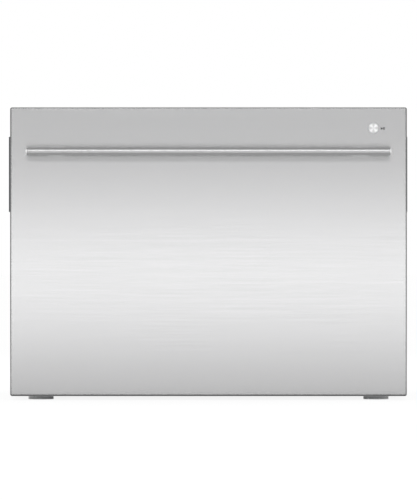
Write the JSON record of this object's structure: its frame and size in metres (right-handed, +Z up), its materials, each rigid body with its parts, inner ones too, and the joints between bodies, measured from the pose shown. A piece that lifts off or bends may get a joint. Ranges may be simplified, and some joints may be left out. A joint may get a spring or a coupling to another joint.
{
  "type": "drawer dishwasher",
  "caption": "Built-in drawer dishwasher: brushed steel front with a bar handle, a sliding tub with basket and spray arm, a lowering lid and a chassis on levelling feet.",
  "frame": {"origin": "on the floor, at the middle of the footprint with the feet wound in", "axes": "+X to the right seen from the front, the front faces -Y, +Z up"},
  "size_m": [0.6, 0.613, 0.44],
  "materials": {
    "panel_steel": "horizontally brushed stainless steel",
    "handle_steel": "fine brushed stainless steel",
    "cap_metal": "satin end caps",
    "plated_steel": "zinc plated",
    "button_metal": "spun metal face",
    "bezel_metal": "satin",
    "chassis_steel": "galvanised sheet",
    "frame_steel": "zinc coated folded steel",
    "bracket_steel": "dark coated steel",
    "runner_steel": "bright zinc plated",
    "ball_steel": "polished balls",
    "tray_plastic": "moulded",
    "trim_rubber": "soft trim",
    "seal_rubber": "moulded seal",
    "lid_plastic": "moulded",
    "tub_plastic": "moulded pale grey",
    "flap_plastic": "moulded",
    "cap_plastic": "moulded",
    "gear_plastic": "acetal",
    "drive_plastic": "moulded",
    "valve_plastic": "moulded",
    "outlet_plastic": "moulded",
    "foot_plastic": "moulded",
    "arm_plastic": "moulded",
    "door_plastic": "moulded",
    "fascia_plastic": "gloss black",
    "key_plastic": "moulded",
    "board": "lacquered board",
    "filter_metal": "perforated",
    "filter_plastic": "moulded",
    "motor_metal": "coated",
    "pump_plastic": "moulded",
    "rotor_plastic": "moulded",
    "heater_metal": "nickel alloy tube",
    "spray_plastic": "moulded",
    "rack_coating": "nylon coated wire",
    "cutlery_plastic": "moulded"
  },
  "bodies": {
    "chassis": {"side_panel_left": "chassis_steel", "side_panel_right": "chassis_steel", "top_panel": "chassis_steel", "back_panel": "chassis_steel", "base_frame": "frame_steel", "drip_tray": "tray_plastic", "side_brackets": "bracket_steel", "bracket_packer": "bracket_steel", "mouth_trim": "trim_rubber", "runner_outers": "runner_steel", "lid_drives": "drive_plastic", "inlet_valve": "valve_plastic", "drain_outlet": "outlet_plastic", "terminal_box": "drive_plastic", "link_anchor": "plated_steel"},
    "foot_front_left": {"foot_front_left": "foot_plastic"},
    "foot_front_right": {"foot_front_right": "foot_plastic"},
    "foot_rear_left": {"foot_rear_left": "foot_plastic"},
    "foot_rear_right": {"foot_rear_right": "foot_plastic"},
    "lid": {"lid": "lid_plastic", "lid_racks": "gear_plastic", "lid_seal": "seal_rubber"},
    "pinion_left": {"pinion_left": "gear_plastic"},
    "pinion_right": {"pinion_right": "gear_plastic"},
    "runner_middles": {"runner_middles": "runner_steel", "runner_balls": "ball_steel"},
    "link_arm_rear": {"link_arm_rear": "arm_plastic"},
    "link_arm_front": {"link_arm_front": "arm_plastic"},
    "drawer": {"front_panel": "panel_steel", "inner_door": "door_plastic", "handle_bar": "handle_steel", "handle_caps": "cap_metal", "handle_posts": "handle_steel", "handle_nuts": "plated_steel", "control_fascia": "fascia_plastic", "control_board": "board", "button_bezel": "bezel_metal", "tub": "tub_plastic", "runner_inners": "runner_steel", "link_bracket": "plated_steel", "filter_plate": "filter_metal", "drain_filter": "filter_plastic", "wash_motor": "motor_metal", "drain_pump": "pump_plastic", "heater_ring": "heater_metal", "dispenser_body": "tub_plastic", "basket": "rack_coating", "cutlery_basket": "cutlery_plastic"},
    "start_button": {"start_button": "button_metal"},
    "power_key": {"power_key": "key_plastic"},
    "programme_key": {"programme_key": "key_plastic"},
    "spray_arm": {"spray_arm": "spray_plastic"},
    "pump_rotor": {"pump_rotor": "rotor_plastic"},
    "dispenser_flap": {"dispenser_flap": "flap_plastic"},
    "rinse_cap": {"rinse_cap": "cap_plastic"},
    "tine_row_left": {"tine_row_left": "rack_coating"},
    "tine_row_right": {"tine_row_right": "rack_coating"},
    "cup_rack_left": {"cup_rack_left": "rack_coating"},
    "cup_rack_right": {"cup_rack_right": "rack_coating"}
  },
  "joints": [
    {"name": "drawer_slide", "type": "slide", "parent": "chassis", "child": "drawer", "axis": [0, -1, 0], "range_m": [0, 0.52]},
    {"name": "runner_slide", "type": "slide", "parent": "chassis", "child": "runner_middles", "axis": [0, -1, 0], "range_m": [0, 0.26]},
    {"name": "link_rear_turn", "type": "hinge", "parent": "chassis", "child": "link_arm_rear", "pos_m": [-0.215, 0.275, 0.269], "axis": [0, 0, -1], "range_deg": [0, 37.25]},
    {"name": "link_front_turn", "type": "hinge", "parent": "link_arm_rear", "child": "link_arm_front", "pos_m": [0.215, 0.275, 0.287], "axis": [0, 0, 1], "range_deg": [0, 74.5]},
    {"name": "lid_slide", "type": "slide", "parent": "chassis", "child": "lid", "axis": [0, 0, -1], "range_m": [0, 0.0087]},
    {"name": "pinion_left_turn", "type": "hinge", "parent": "chassis", "child": "pinion_left", "pos_m": [-0.281, 0.01438, 0.397], "axis": [1, 0, 0], "range_deg": [0, 50]},
    {"name": "pinion_right_turn", "type": "hinge", "parent": "chassis", "child": "pinion_right", "pos_m": [0.281, 0.01438, 0.397], "axis": [1, 0, 0], "range_deg": [0, 50]},
    {"name": "foot_front_left_level", "type": "slide", "parent": "chassis", "child": "foot_front_left", "axis": [0, 0, -1], "range_m": [0, 0.015]},
    {"name": "foot_front_right_level", "type": "slide", "parent": "chassis", "child": "foot_front_right", "axis": [0, 0, -1], "range_m": [0, 0.015]},
    {"name": "foot_rear_left_level", "type": "slide", "parent": "chassis", "child": "foot_rear_left", "axis": [0, 0, -1], "range_m": [0, 0.015]},
    {"name": "foot_rear_right_level", "type": "slide", "parent": "chassis", "child": "foot_rear_right", "axis": [0, 0, -1], "range_m": [0, 0.015]},
    {"name": "start_button_press", "type": "slide", "parent": "drawer", "child": "start_button", "axis": [0, 1, 0], "range_m": [0, 0.0015], "stiffness_N_per_m": 600, "springref_m": -0.001},
    {"name": "power_key_press", "type": "slide", "parent": "drawer", "child": "power_key", "axis": [0, 0, -1], "range_m": [0, 0.001], "stiffness_N_per_m": 500, "springref_m": -0.0008},
    {"name": "programme_key_press", "type": "slide", "parent": "drawer", "child": "programme_key", "axis": [0, 0, -1], "range_m": [0, 0.001], "stiffness_N_per_m": 500, "springref_m": -0.0008},
    {"name": "spray_arm_spin", "type": "hinge", "parent": "drawer", "child": "spray_arm", "pos_m": [0, -0.0025, 0.106], "axis": [0, 0, 1], "continuous": true},
    {"name": "pump_rotor_spin", "type": "hinge", "parent": "drawer", "child": "pump_rotor", "pos_m": [0, -0.0025, 0.072], "axis": [0, 0, 1], "continuous": true},
    {"name": "dispenser_flap_turn", "type": "hinge", "parent": "drawer", "child": "dispenser_flap", "pos_m": [-0.124, -0.2107, 0.344], "axis": [1, 0, 0], "range_deg": [0, 95]},
    {"name": "rinse_cap_turn", "type": "hinge", "parent": "drawer", "child": "rinse_cap", "pos_m": [-0.072, -0.212, 0.307], "axis": [0, 1, 0], "range_deg": [0, 90]},
    {"name": "tine_row_left_fold", "type": "hinge", "parent": "drawer", "child": "tine_row_left", "pos_m": [-0.06, 0, 0.13715], "axis": [0, -1, 0], "range_deg": [0, 90]},
    {"name": "tine_row_right_fold", "type": "hinge", "parent": "drawer", "child": "tine_row_right", "pos_m": [0.06, 0, 0.13715], "axis": [0, 1, 0], "range_deg": [0, 90]},
    {"name": "cup_rack_left_lift", "type": "hinge", "parent": "drawer", "child": "cup_rack_left", "pos_m": [-0.23715, 0, 0.2848], "axis": [0, -1, 0], "range_deg": [0, 85]},
    {"name": "cup_rack_right_lift", "type": "hinge", "parent": "drawer", "child": "cup_rack_right", "pos_m": [0.23715, 0, 0.2848], "axis": [0, 1, 0], "range_deg": [0, 85]}
  ],
  "couplings": [
    {"joint": "runner_slide", "follows": "drawer_slide", "ratio": 0.5},
    {"joint": "link_rear_turn", "follows": "drawer_slide", "rad_per_m": 1.2489},
    {"joint": "link_front_turn", "follows": "drawer_slide", "rad_per_m": 2.4978},
    {"joint": "pinion_left_turn", "follows": "lid_slide", "rad_per_m": 100},
    {"joint": "pinion_right_turn", "follows": "lid_slide", "rad_per_m": 100}
  ]
}
